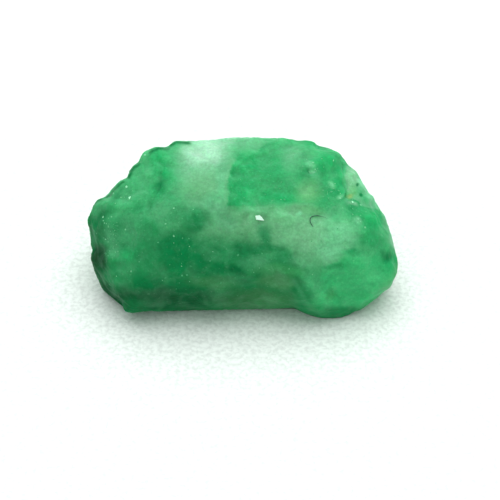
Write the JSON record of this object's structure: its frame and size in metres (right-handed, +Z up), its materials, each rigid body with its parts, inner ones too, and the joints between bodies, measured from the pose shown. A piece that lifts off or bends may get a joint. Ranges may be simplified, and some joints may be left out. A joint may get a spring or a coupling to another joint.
{
  "type": "raw emerald crystal",
  "caption": "Rough, cloudy green beryl crystal: a worn prism with chipped ends and a rounded toe, lying on its side on a flat worn face.",
  "frame": {"origin": "middle of the crystal's footprint, on the surface it rests on", "axes": "+X along the crystal, towards the end with the rounded toe; +Y from the front to the back; +Z up"},
  "size_m": [0.014, 0.0076, 0.0063],
  "materials": {
    "emerald": "frosted, slightly glassy, cloudy green with milky patches"
  },
  "bodies": {
    "root": {"emerald_crystal": "emerald"}
  },
  "joints": []
}
